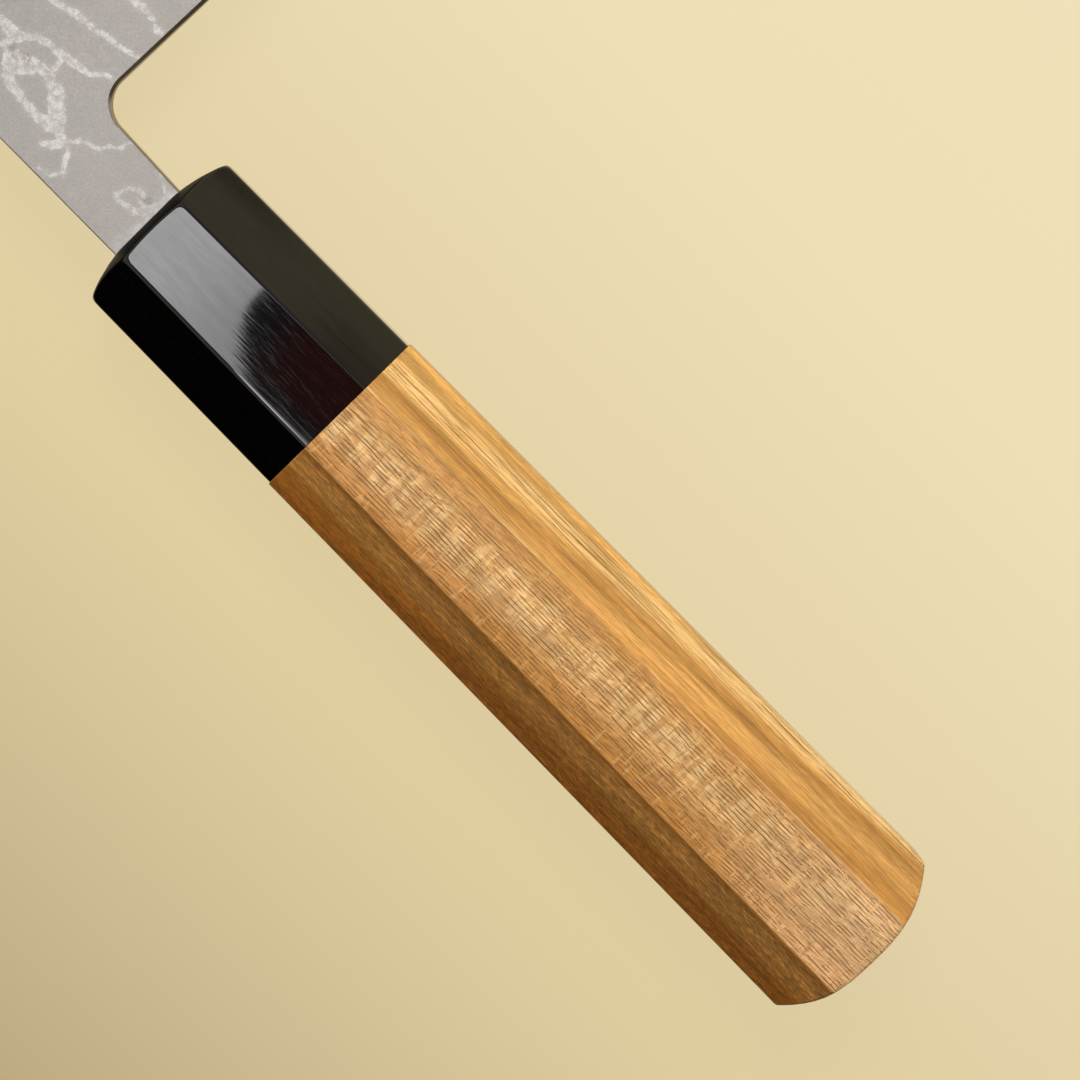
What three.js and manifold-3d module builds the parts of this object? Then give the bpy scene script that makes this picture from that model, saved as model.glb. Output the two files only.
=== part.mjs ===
import * as THREE from "three";
import { mergeVertices } from "three/addons/utils/BufferGeometryUtils.js";
import Module from "manifold-3d";

// A gyuto with a laminated blade and an octagonal two-piece handle, in millimetres.
// +X runs from the handle to the tip, +Y towards the spine, +Z out of the blade's right face.
// Inside the knife group x = 0 is the ferrule's mouth, y = 0 the handle's axis and z = 0 the blade's middle.

const wasm = await Module();
wasm.setup();

// Handle, outside
const FERRULE_LENGTH = 34;
const BODY_LENGTH = 97.8;
const MOUTH_HEIGHT = 24.14;
const MOUTH_WIDTH = 19.2;
const HEIGHT_TAPER = 0.0163;
const WIDTH_TAPER = 0.0165;
const FACET_DROP = 7.08;
const FACET_REACH = 7;
const HORN_SKIN = { step: 0, ridgeEase: 0.35 };
const WOOD_SKIN = { step: 0.2, ridgeEase: 0.22 };
const MOUTH_FACE = { crown: 1.8, sideCrown: 1.25, corner: 1.5, power: 1.75, land: 0.35, ease: 0.35 };
const BUTT_FACE = { crown: 3.83, sideCrown: 1.2, corner: 0, power: 2.3, land: 0.08, ease: 0.35 };

// Handle, inside
const FRONT_WALL = 8;
const DOWEL_DIAMETER = 13;
const DOWEL_IN_BODY = 26;
const TANG_BORE_DIAMETER = 9.5;
const SEAL_DEPTH = 3;
const SEAL_WALL = 0.6;
const SEAL_RECESS = 0.5;
const BEDDING_END = 2;
const GLUE_GAP = 0.25;

// Neck and tang
const NECK_LENGTH = 15.05;
const NECK_TOP = 6.11;
const NECK_BOTTOM = 5.32;
const NECK_FLARE = 0.4;
const SHOULDER_DEPTH = 2;
const SHOULDER_STEP = 0.7;
const TANG_LENGTH = 92;
const TANG_TIP_HEIGHT = 5;
const TANG_TIP_THICKNESS = 2;
const CHOIL_RADIUS = 4.1;
const CHOIL_EASE = 0.45;
const CHOIL_EASE_DEPTH = 0.6;

// Blade
const BLADE_LENGTH = 210;
const HEEL_HEIGHT = 46.5;
const HEEL_LEAN = 0.03;
const TIP_DROP = 21;
const SPINE_STRAIGHT = 95;
const SPINE_POWER = 2.3;
const EDGE_POWER = 3.3;
const SPINE_THICKNESS = 2.6;
const DISTAL_TAPER = 0.0055;
const WEDGE_TAPER = 0.022;
const SPINE_EASE = 0.3;
const BEVEL_HEIGHT = 22;
const BEVEL_SWELL = 0.06;
const EDGE_BEVEL_HEIGHT = 0.8;
const EDGE_BEVEL_THICKNESS = 0.34;
const CORE_THICKNESS = 0.8;

// How finely round shapes are cut into facets
const RIDGE_DIVISIONS = 3;
const FACET_DIVISIONS = 4;
const EASE_STEPS = 4;
const CHOIL_EASE_STEPS = 2;
const BORE_SEGMENTS = 40;
const CROWN_SHARES = [0, 0.35, 0.65, 0.85];
const BLADE_STATIONS = 26;
const STATION_POWER = 0.72;

const HORN = { color: 0x17110f, roughness: 0.12, metalness: 0 };
const CHERRY = { color: 0xcc9a62, roughness: 0.5, metalness: 0 };
const DAMASCUS = { color: 0xaea8a2, roughness: 0.42, metalness: 0.85 };
const CORE = { color: 0xb9b6b0, roughness: 0.28, metalness: 0.9 };
const HARDWOOD = { color: 0xc7a878, roughness: 0.7, metalness: 0 };
const RESIN = { color: 0x1c1815, roughness: 0.35, metalness: 0 };
const EPOXY = { color: 0xb7a374, roughness: 0.4, metalness: 0 };

// How far a cutting solid reaches past the face that it cuts
const CUT_MARGIN = 1;

// Places that follow from the sizes
const JOINT_X = -FERRULE_LENGTH;
const BUTT_X = JOINT_X - BODY_LENGTH;
const DOWEL_FRONT = -FRONT_WALL;
const DOWEL_BACK = JOINT_X - DOWEL_IN_BODY;
const TANG_END = -TANG_LENGTH;
const BORE_END = TANG_END - BEDDING_END - GLUE_GAP;
const SEAL_BACK = -SEAL_DEPTH;
const SEAL_ROOM = SEAL_WALL + 2 * GLUE_GAP;
const TANG_ROOT_TOP = NECK_TOP - SHOULDER_STEP;
const TANG_ROOT_BOTTOM = NECK_BOTTOM - SHOULDER_STEP;
const NECK_HEIGHT = NECK_TOP + NECK_BOTTOM;
const NECK_THICKNESS = SPINE_THICKNESS + DISTAL_TAPER * NECK_LENGTH;
const TIP_X = NECK_LENGTH + BLADE_LENGTH;
const TIP_Y = NECK_TOP - TIP_DROP;
const HEEL_Y = NECK_TOP - HEEL_HEIGHT;
const BEYOND_FACE = NECK_THICKNESS + CUT_MARGIN;

function solidOf(geometry) {
  geometry.deleteAttribute("normal");
  geometry.deleteAttribute("uv");
  const merged = mergeVertices(geometry);
  const vertProperties = new Float32Array(merged.attributes.position.array);
  const triVerts = new Uint32Array(merged.index.array);
  return new wasm.Manifold(new wasm.Mesh({ numProp: 3, vertProperties, triVerts }));
}

function meshOf(name, solid, finish) {
  const { vertProperties, triVerts } = solid.getMesh();
  const geometry = new THREE.BufferGeometry();
  geometry.setAttribute("position", new THREE.BufferAttribute(new Float32Array(vertProperties), 3));
  geometry.setIndex(new THREE.BufferAttribute(new Uint32Array(triVerts), 1));
  geometry.computeVertexNormals();
  const mesh = new THREE.Mesh(geometry, new THREE.MeshStandardMaterial(finish));
  mesh.name = name;
  return mesh;
}

// Skins a row of closed rings, wound clockwise seen from the row's start, and closes both ends on a point.
function loft(rings, startPoint, endPoint) {
  const count = rings[0].length;
  const points = [startPoint, ...rings.flat(), endPoint];
  const last = points.length - 1;
  const index = [];
  for (let i = 0; i < count; i += 1) {
    const next = (i + 1) % count;
    index.push(0, 1 + i, 1 + next);
    for (let ring = 0; ring + 1 < rings.length; ring += 1) {
      const here = 1 + ring * count;
      const there = here + count;
      index.push(here + i, there + next, here + next);
      index.push(here + i, there + i, there + next);
    }
    const end = last - count;
    index.push(last, end + next, end + i);
  }
  const geometry = new THREE.BufferGeometry().setFromPoints(points);
  geometry.setIndex(index);
  return solidOf(geometry);
}

// A prism whose outline lies in the plane across the handle, from one place on the X axis to another.
function alongX(shape, from, to) {
  const geometry = new THREE.ExtrudeGeometry(shape, { depth: to - from, bevelEnabled: false });
  const acrossHandle = new THREE.Matrix4().makeBasis(
    new THREE.Vector3(0, 1, 0),
    new THREE.Vector3(0, 0, 1),
    new THREE.Vector3(1, 0, 0),
  );
  geometry.applyMatrix4(acrossHandle);
  geometry.translate(from, 0, 0);
  return solidOf(geometry);
}

function rodAlongX(diameter, from, to) {
  const geometry = new THREE.CylinderGeometry(diameter / 2, diameter / 2, to - from, BORE_SEGMENTS);
  geometry.rotateZ(-Math.PI / 2);
  geometry.translate((from + to) / 2, 0, 0);
  return solidOf(geometry);
}

// A slot outline whose long sides face left and right, between two heights on the handle's axis.
function slotShape(bottom, top, thickness) {
  const half = thickness / 2;
  const shape = new THREE.Shape();
  shape.moveTo(bottom, -half);
  shape.lineTo(top, -half);
  shape.lineTo(top, half);
  shape.lineTo(bottom, half);
  shape.closePath();
  return shape;
}

// The handle's octagon at a distance behind the mouth, as height and thickness points, with eased ridges.
function octagon(distance, skin) {
  const halfHeight = (MOUTH_HEIGHT + HEIGHT_TAPER * distance) / 2 + skin.step;
  const halfWidth = (MOUTH_WIDTH + WIDTH_TAPER * distance) / 2 + skin.step;
  const corners = [
    [halfHeight, halfWidth - FACET_REACH],
    [halfHeight - FACET_DROP, halfWidth],
    [FACET_DROP - halfHeight, halfWidth],
    [-halfHeight, halfWidth - FACET_REACH],
    [-halfHeight, FACET_REACH - halfWidth],
    [FACET_DROP - halfHeight, -halfWidth],
    [halfHeight - FACET_DROP, -halfWidth],
    [halfHeight, FACET_REACH - halfWidth],
  ].map(([y, z]) => new THREE.Vector2(y, z));
  const easedFrom = (corner, towards) => towards.clone().sub(corner).setLength(skin.ridgeEase).add(corner);
  return corners.flatMap((corner, i) => {
    const next = corners[(i + 1) % corners.length];
    const after = easedFrom(corner, next);
    const ridge = new THREE.QuadraticBezierCurve(easedFrom(corner, corners.at(i - 1)), corner, after);
    const facet = new THREE.LineCurve(after, easedFrom(next, corner));
    return [...ridge.getPoints(RIDGE_DIVISIONS), ...facet.getPoints(FACET_DIVISIONS).slice(1, -1)];
  });
}

// How far a crowned end face falls back at a point, outside the flat land in its middle.
function crownFall(point, distance, face) {
  const y = (2 * Math.abs(point.x)) / (MOUTH_HEIGHT + HEIGHT_TAPER * distance);
  const z = (2 * Math.abs(point.y)) / (MOUTH_WIDTH + WIDTH_TAPER * distance);
  const beyondLand = (share) => Math.max(0, (share - face.land) / (1 - face.land)) ** face.power;
  return face.crown * beyondLand(y) + face.sideCrown * beyondLand(z) * (1 + face.corner * y ** 2);
}

// Rings of a crowned handle end, from its middle out to the facets. Inward is the sign of X into the handle.
function endRings(end, inward, skin, face) {
  const distance = -end;
  const outline = octagon(distance, skin);
  const halfHeight = (MOUTH_HEIGHT + HEIGHT_TAPER * distance) / 2;
  const eased = Array.from({ length: EASE_STEPS + 1 }, (_, i) => {
    const angle = (Math.PI / 2) * (1 - i / EASE_STEPS);
    const inset = face.ease * (1 - Math.cos(angle));
    return { share: 1 - inset / halfHeight, back: face.ease * (1 - Math.sin(angle)) };
  });
  const innermost = eased[0].share;
  const inner = CROWN_SHARES.map((along) => {
    const share = THREE.MathUtils.lerp(face.land, innermost, along);
    return { share, back: 0 };
  });
  return [...inner, ...eased].map(({ share, back }) =>
    outline.map((rim, i) => {
      const fall = crownFall(rim.clone().multiplyScalar(share), distance, face) + back;
      const point = octagon(distance - inward * fall, skin)[i].multiplyScalar(share);
      return new THREE.Vector3(end + inward * fall, point.x, point.y);
    }),
  );
}

function squareRing(x, skin) {
  return octagon(-x, skin).map((point) => new THREE.Vector3(x, point.x, point.y));
}

function axisPoint(x) {
  return new THREE.Vector3(x, 0, 0);
}

// The slot that the tang passes through, in the ferrule's front wall and in the dowel.
function tangSlot() {
  const room = NECK_THICKNESS + 2 * GLUE_GAP;
  const slot = slotShape(-TANG_ROOT_BOTTOM - GLUE_GAP, TANG_ROOT_TOP + GLUE_GAP, room);
  return alongX(slot, DOWEL_BACK - CUT_MARGIN, CUT_MARGIN);
}

// The polished horn ferrule: crowned mouth, recess for the resin, slot for the tang, bore for the dowel.
function ferrule() {
  const mouth = endRings(0, -1, HORN_SKIN, MOUTH_FACE);
  const outside = loft([...mouth, squareRing(JOINT_X, HORN_SKIN)], axisPoint(0), axisPoint(JOINT_X));
  const recess = slotShape(-NECK_BOTTOM - SEAL_ROOM, NECK_TOP + SEAL_ROOM, NECK_THICKNESS + 2 * SEAL_ROOM);
  return outside
    .subtract(alongX(recess, SEAL_BACK, CUT_MARGIN))
    .subtract(tangSlot())
    .subtract(rodAlongX(DOWEL_DIAMETER + 2 * GLUE_GAP, JOINT_X - CUT_MARGIN, DOWEL_FRONT));
}

// The wooden grip: crowned butt, bore for the dowel, narrower bore for the end of the tang.
function handleBody() {
  const butt = endRings(BUTT_X, 1, WOOD_SKIN, BUTT_FACE);
  const rings = [squareRing(JOINT_X, WOOD_SKIN), ...butt.toReversed()];
  const outside = loft(rings, axisPoint(JOINT_X), axisPoint(BUTT_X));
  return outside
    .subtract(rodAlongX(DOWEL_DIAMETER + 2 * GLUE_GAP, DOWEL_BACK - GLUE_GAP, JOINT_X + CUT_MARGIN))
    .subtract(rodAlongX(TANG_BORE_DIAMETER, BORE_END, DOWEL_BACK));
}

// The dowel, slotted from end to end for the tang.
function dowel() {
  const rod = rodAlongX(DOWEL_DIAMETER, DOWEL_BACK, DOWEL_FRONT - GLUE_GAP);
  return rod.subtract(tangSlot());
}

// The resin collar in the ferrule's mouth, round the neck.
function mouthSeal() {
  const grow = GLUE_GAP + SEAL_WALL;
  const outer = slotShape(-NECK_BOTTOM - grow, NECK_TOP + grow, NECK_THICKNESS + 2 * grow);
  const inner = slotShape(-NECK_BOTTOM - GLUE_GAP, NECK_TOP + GLUE_GAP, NECK_THICKNESS + 2 * GLUE_GAP);
  return alongX(outer, SEAL_BACK + GLUE_GAP, -SEAL_RECESS).subtract(
    alongX(inner, SEAL_BACK - CUT_MARGIN, CUT_MARGIN),
  );
}

// Height of the tang's upper or lower border at a place on the X axis.
function tangBorder(root, x) {
  return THREE.MathUtils.lerp(root, TANG_TIP_HEIGHT / 2, -x / TANG_LENGTH);
}

// The resin plug in the grip that the end of the tang is set in.
function tangBedding() {
  const front = DOWEL_BACK - 2 * GLUE_GAP;
  const plug = rodAlongX(TANG_BORE_DIAMETER - 2 * GLUE_GAP, TANG_END - BEDDING_END, front);
  const bottom = -tangBorder(TANG_ROOT_BOTTOM, front) - GLUE_GAP;
  const top = tangBorder(TANG_ROOT_TOP, front) + GLUE_GAP;
  const pocket = slotShape(bottom, top, tangThickness(front) + 2 * GLUE_GAP);
  return plug.subtract(alongX(pocket, TANG_END - GLUE_GAP, front + CUT_MARGIN));
}

function tangThickness(x) {
  return THREE.MathUtils.lerp(NECK_THICKNESS, TANG_TIP_THICKNESS, -x / TANG_LENGTH);
}

function spineY(x) {
  const along = Math.max(0, (x - NECK_LENGTH - SPINE_STRAIGHT) / (BLADE_LENGTH - SPINE_STRAIGHT));
  return NECK_TOP - TIP_DROP * along ** SPINE_POWER;
}

function edgeY(x) {
  const along = Math.max(0, (x - NECK_LENGTH) / BLADE_LENGTH);
  return HEEL_Y + (TIP_Y - HEEL_Y) * along ** EDGE_POWER;
}

// Half the thickness of the blade's flat, which falls evenly towards the tip and towards the edge.
function flatHalf(x, y) {
  const atSpine = x < 0 ? tangThickness(x) : SPINE_THICKNESS - DISTAL_TAPER * (x - NECK_LENGTH);
  return (atSpine - WEDGE_TAPER * (NECK_TOP - y)) / 2;
}

// One section of the ground bar, from the edge up the right face to the spine and down the left face.
function bladeRing(x) {
  const spine = spineY(x);
  const edge = edgeY(x);
  const share = (spine - edge) / HEEL_HEIGHT;
  const shoulder = edge + BEVEL_HEIGHT * share;
  const lip = edge + EDGE_BEVEL_HEIGHT * share;
  const lipHalf = (EDGE_BEVEL_THICKNESS / 2) * share;
  const middle = (shoulder + lip) / 2;
  const shoulderHalf = flatHalf(x, shoulder);
  const middleHalf = (shoulderHalf + lipHalf) / 2 + BEVEL_SWELL * share;
  const spineHalf = flatHalf(x, spine);
  const ease = Math.min(SPINE_EASE, spineHalf / 2, (spine - shoulder) / 2);
  const side = [
    [lip, lipHalf],
    [middle, middleHalf],
    [shoulder, shoulderHalf],
    [spine - ease, flatHalf(x, spine - ease)],
    [spine, spineHalf - ease],
  ];
  const right = side.map(([y, z]) => new THREE.Vector3(x, y, z));
  const left = side.map(([y, z]) => new THREE.Vector3(x, y, -z)).reverse();
  return [new THREE.Vector3(x, edge, 0), ...right, ...left];
}

// The outline that the bar is cut to: tang, shoulders, neck, choil and heel. It clears spine and edge.
function bladeOutline() {
  const neckEnd = -NECK_BOTTOM - NECK_FLARE;
  const above = NECK_TOP + CUT_MARGIN;
  const below = HEEL_Y - CUT_MARGIN;
  const beyond = TIP_X + CUT_MARGIN;
  const lean = Math.atan(HEEL_LEAN);
  const heelTop = new THREE.Vector2(CHOIL_RADIUS, 0).rotateAround(new THREE.Vector2(), -lean);
  heelTop.add(new THREE.Vector2(NECK_LENGTH - CHOIL_RADIUS, neckEnd - CHOIL_RADIUS));
  const outline = new THREE.Shape();
  outline.moveTo(TANG_END, -TANG_TIP_HEIGHT / 2);
  outline.lineTo(-SHOULDER_DEPTH, -tangBorder(TANG_ROOT_BOTTOM, -SHOULDER_DEPTH));
  outline.lineTo(-SHOULDER_DEPTH, -NECK_BOTTOM);
  outline.lineTo(0, -NECK_BOTTOM);
  outline.lineTo(NECK_LENGTH - CHOIL_RADIUS, neckEnd);
  outline.absarc(NECK_LENGTH - CHOIL_RADIUS, neckEnd - CHOIL_RADIUS, CHOIL_RADIUS, Math.PI / 2, -lean, true);
  outline.lineTo(heelTop.x - HEEL_LEAN * (heelTop.y - below), below);
  outline.lineTo(beyond, below);
  outline.lineTo(beyond, above);
  outline.lineTo(-SHOULDER_DEPTH, above);
  outline.lineTo(-SHOULDER_DEPTH, tangBorder(TANG_ROOT_TOP, -SHOULDER_DEPTH));
  outline.lineTo(TANG_END, TANG_TIP_HEIGHT / 2);
  outline.closePath();
  return outline;
}

// The whole ground and profiled blade, eased along neck and choil, before it is told apart into layers.
function groundBlade() {
  const stations = [TANG_END - CUT_MARGIN, 0, NECK_LENGTH];
  for (let i = 1; i < BLADE_STATIONS; i += 1) {
    stations.push(NECK_LENGTH + BLADE_LENGTH * (i / BLADE_STATIONS) ** STATION_POWER);
  }
  const rings = stations.map(bladeRing);
  const back = new THREE.Vector3(stations[0], 0, 0);
  const tip = new THREE.Vector3(TIP_X, TIP_Y, 0);
  const bar = loft(rings, back, tip);
  const straight = NECK_THICKNESS - 2 * CHOIL_EASE_DEPTH;
  const prism = new THREE.ExtrudeGeometry(bladeOutline(), {
    depth: straight,
    bevelSize: CHOIL_EASE,
    bevelOffset: -CHOIL_EASE,
    bevelThickness: CHOIL_EASE_DEPTH,
    bevelSegments: CHOIL_EASE_STEPS,
  });
  prism.translate(0, 0, -straight / 2);
  return bar.intersect(solidOf(prism));
}

// A slab across the whole blade between two heights above its middle plane.
function layerSlab(low, high) {
  const length = TIP_X - TANG_END + 2 * CUT_MARGIN;
  const slab = new THREE.BoxGeometry(length, 2 * (HEEL_HEIGHT + NECK_HEIGHT), high - low);
  slab.translate((TIP_X + TANG_END) / 2, 0, (low + high) / 2);
  return solidOf(slab);
}

const blade = groundBlade();
const coreSteel = blade.intersect(layerSlab(-CORE_THICKNESS / 2, CORE_THICKNESS / 2));
const claddingRight = blade.intersect(layerSlab(CORE_THICKNESS / 2, BEYOND_FACE));
const claddingLeft = blade.intersect(layerSlab(-BEYOND_FACE, -CORE_THICKNESS / 2));

const knife = new THREE.Group();
knife.add(
  meshOf("core_steel", coreSteel, CORE),
  meshOf("cladding_right", claddingRight, DAMASCUS),
  meshOf("cladding_left", claddingLeft, DAMASCUS),
  meshOf("ferrule", ferrule(), HORN),
  meshOf("handle_body", handleBody(), CHERRY),
  meshOf("dowel", dowel(), HARDWOOD),
  meshOf("mouth_seal", mouthSeal(), RESIN),
  meshOf("tang_bedding", tangBedding(), EPOXY),
);

// The part's origin is the middle of its box, on the underside.
const box = new THREE.Box3().setFromObject(knife, true);
const middle = box.getCenter(new THREE.Vector3());
knife.position.set(-middle.x, -middle.y, -box.min.z);

const gyuto = new THREE.Group();
gyuto.add(knife);

export default gyuto;
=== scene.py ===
import math

import bmesh
import bpy
import numpy as np
from mathutils import Matrix, Vector


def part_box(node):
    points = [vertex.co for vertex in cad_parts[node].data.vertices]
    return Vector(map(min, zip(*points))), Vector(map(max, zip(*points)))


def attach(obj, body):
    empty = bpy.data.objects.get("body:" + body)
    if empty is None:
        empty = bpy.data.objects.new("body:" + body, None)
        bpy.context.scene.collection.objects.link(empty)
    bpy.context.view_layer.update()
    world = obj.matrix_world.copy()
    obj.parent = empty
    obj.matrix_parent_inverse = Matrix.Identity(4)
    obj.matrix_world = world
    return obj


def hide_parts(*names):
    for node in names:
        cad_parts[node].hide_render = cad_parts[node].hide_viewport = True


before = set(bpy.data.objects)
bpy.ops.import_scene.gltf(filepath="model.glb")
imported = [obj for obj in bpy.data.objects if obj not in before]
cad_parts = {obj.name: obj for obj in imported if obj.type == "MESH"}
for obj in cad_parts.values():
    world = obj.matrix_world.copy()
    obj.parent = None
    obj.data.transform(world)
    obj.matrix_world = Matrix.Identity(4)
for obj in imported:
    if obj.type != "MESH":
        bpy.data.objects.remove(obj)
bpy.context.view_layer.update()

# The knife's own frame: millimetres, x = 0 at the ferrule's mouth, y = 0 on the handle's axis,
# z = 0 in the blade's middle plane. +X runs to the tip, +Y to the spine, +Z out of the right face.
MM = 0.001
FERRULE_LOW, FERRULE_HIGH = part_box("ferrule")
BODY_LOW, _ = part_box("handle_body")
CORE_LOW, CORE_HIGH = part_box("core_steel")
DOWEL_LOW, DOWEL_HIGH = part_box("dowel")
BEDDING_LOW, BEDDING_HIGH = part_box("tang_bedding")
FERRULE_MIDDLE = (FERRULE_LOW + FERRULE_HIGH) / 2
ORIGIN = Vector((FERRULE_HIGH.x, FERRULE_MIDDLE.y, FERRULE_MIDDLE.z))
JOINT_X = (FERRULE_LOW.x - ORIGIN.x) / MM
BUTT_X = (BODY_LOW.x - ORIGIN.x) / MM
TIP_X = (CORE_HIGH.x - ORIGIN.x) / MM
TANG_END = (CORE_LOW.x - ORIGIN.x) / MM
HEEL_Y = (CORE_LOW.y - ORIGIN.y) / MM

# Handle, outside
MOUTH_HEIGHT = 24.14
MOUTH_WIDTH = 19.2
HEIGHT_TAPER = 0.0163
WIDTH_TAPER = 0.0165
FACET_DROP = 7.08
FACET_REACH = 7.0
HORN_SKIN = {"step": 0.0, "ridge_ease": 0.35}
WOOD_SKIN = {"step": 0.2, "ridge_ease": 0.22}
FACE_EASE = 0.35
MOUTH_FACE = {"crown": 1.8, "side_crown": 1.25, "corner": 1.5, "power": 1.75, "land": 0.35}
BUTT_FACE = {"crown": 3.83, "side_crown": 1.2, "corner": 0.0, "power": 2.3, "land": 0.08}
JOINT_EASE = 0.08
BUFFED_EASE = 0.9
BUFFED_REACH = 0.9

# Handle, inside
GLUE_GAP = 0.25
SEAL_DEPTH = 3.0
SEAL_WALL = 0.6
SEAL_RECESS = 0.5
SEAL_SAG = 0.25
SEAL_ROOM = SEAL_WALL + 2 * GLUE_GAP
DOWEL_FRONT = (DOWEL_HIGH.x - ORIGIN.x) / MM + GLUE_GAP
DOWEL_BACK = (DOWEL_LOW.x - ORIGIN.x) / MM - GLUE_GAP
DOWEL_BORE = (DOWEL_HIGH.y - DOWEL_LOW.y) / MM / 2 + GLUE_GAP
TANG_BORE = (BEDDING_HIGH.y - BEDDING_LOW.y) / MM / 2 + GLUE_GAP
BORE_END = (BEDDING_LOW.x - ORIGIN.x) / MM - GLUE_GAP

# Neck, tang and blade
NECK_LENGTH = 15.05
NECK_TOP = 6.11
NECK_BOTTOM = 5.32
NECK_FLARE = 0.4
SHOULDER_X = -2.0
SHOULDER_STEP = 0.7
TANG_TIP_HEIGHT = 5.0
TANG_TIP_THICKNESS = 2.0
CHOIL_RADIUS = 4.1
HEEL_HEIGHT = NECK_TOP - HEEL_Y
BLADE_LENGTH = TIP_X - NECK_LENGTH
TIP_DROP = 21.0
SPINE_STRAIGHT = 95.0
SPINE_POWER = 2.3
EDGE_POWER = 3.3
SPINE_THICKNESS = 2.6
DISTAL_TAPER = 0.0055
WEDGE_TAPER = 0.022
BEVEL_HEIGHT = 22.0
BEVEL_SWELL = 0.06
EDGE_BEVEL_HEIGHT = 0.8
EDGE_BEVEL_THICKNESS = 0.34
CORE_HALF = 0.4
TIP_FADE = 5.8
NECK_THICKNESS = SPINE_THICKNESS + DISTAL_TAPER * NECK_LENGTH
CHOIL_EASE = 0.42
CHOIL_SLOPE = 0.65
NECK_SHARE = 0.5
CHOIL_START = NECK_LENGTH - CHOIL_RADIUS
HEEL_LEAN = 0.03
SPINE_EASE = 0.16
EASE_LIMIT = 0.6

# How finely the shapes are cut
RIDGE_STEPS = 8
FACET_SHARES = (0.02, 0.2, 0.4, 0.6, 0.8, 0.98)
RIM_STEPS = 10
BUFFED_STEPS = 8
CROWN_STEPS = 14
BUTT_CENTRE = 0.02
SEAL_STEPS = 9
HALVINGS = 40
TANG_COLUMNS = 12
NECK_COLUMNS = 66
CHOIL_COLUMNS = 26
FRONT_COLUMNS = 100
EDGE_COLUMNS = 121
TIP_COLUMNS = 8
EASE_ROWS = (0.0, 0.03, 0.1, 0.16, 0.21, 0.27, 0.34, 0.41, 0.46)
ROWS_BETWEEN = 200
BARE_ROWS = np.concatenate([np.linspace(0, 0.12, 5)[:-1], np.linspace(0.12, 1, 9)])
MERGE_DISTANCE = 0.0005
SHARP_ANGLE = math.radians(38)

# How the columns of the blade's mesh fan out from the choil to the spine
FAN_REACH = 22.0
FAN_FADE = 40.0

# The photograph's camera, in the knife's frame
PHOTO_SIZE = 1080
FOCAL_PIXELS = 3042.0
SENSOR = 36.0
CLIP_START = 10
EYE = Vector((-32.9, -29.38, 388.47))
LOOK = Vector((-0.0784, 0.0576, -0.9953)).normalized()
DOWN = Vector((-0.7111, 0.6965, 0.0963))


def to_row(points):
    """Points of the knife's frame as row-frame metres."""
    return np.asarray(points, float) * MM + np.array(ORIGIN)


def unit(vector):
    return vector / np.linalg.norm(vector)


def camera_axes():
    """The right, up and back directions of the photograph's camera."""
    back = -LOOK
    right = (-DOWN).cross(back).normalized()
    return right, back.cross(right), back


# Mesh making


def add_object(name, data):
    made = bpy.data.objects.new(name, data)
    bpy.context.scene.collection.objects.link(made)
    return made


def add_mesh(name, points, faces):
    """A mesh object made from points of the knife's frame."""
    mesh = bpy.data.meshes.new(name)
    mesh.from_pydata([tuple(p) for p in to_row(points)], [], faces)
    return add_object(name, mesh)


def finish_mesh(name, points, faces, material, slot, *nodes):
    """A smooth piece of the knife that rides on the part and stands for CAD nodes."""
    piece = add_mesh(name, points, faces)
    mesh = piece.data
    work = bmesh.new()
    work.from_mesh(mesh)
    bmesh.ops.remove_doubles(work, verts=work.verts, dist=MERGE_DISTANCE * MM)
    bmesh.ops.dissolve_degenerate(work, edges=work.edges, dist=MERGE_DISTANCE * MM)
    bmesh.ops.recalc_face_normals(work, faces=work.faces)
    work.to_mesh(mesh)
    work.free()
    mesh.shade_smooth()
    mesh.set_sharp_from_angle(angle=SHARP_ANGLE)
    weighted = piece.modifiers.new("flat facets stay flat", "WEIGHTED_NORMAL")
    weighted.keep_sharp = True
    mesh.materials.append(material)
    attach(piece, "root")
    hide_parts(*nodes)
    return piece


def bridge(first, second):
    """Quads between two rows of points, given by their numbers."""
    return [(a, b, d, c) for a, b, c, d in zip(first[:-1], first[1:], second[:-1], second[1:])]


def loft_faces(ring_count, size, closed=True, start=0):
    """Quads between neighbouring rings or open rows of equal size."""
    faces = []
    for ring in range(ring_count - 1):
        here = [start + ring * size + i % size for i in range(size + closed)]
        faces += bridge(here, [i + size for i in here])
    return faces


def ring_piece(name, rings, material, slot, *nodes, loop=False):
    """A piece skinned over closed rings. It ends in caps, or runs back into its first ring."""
    size = len(rings[0])
    if loop:
        rings = [*rings, rings[0]]
    faces = loft_faces(len(rings), size)
    if not loop:
        last = (len(rings) - 1) * size
        faces.append(tuple(range(size)))
        faces.append(tuple(range(last, last + size)))
    return finish_mesh(name, np.concatenate(rings), faces, material, slot, *nodes)


# Handle shapes


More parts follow.
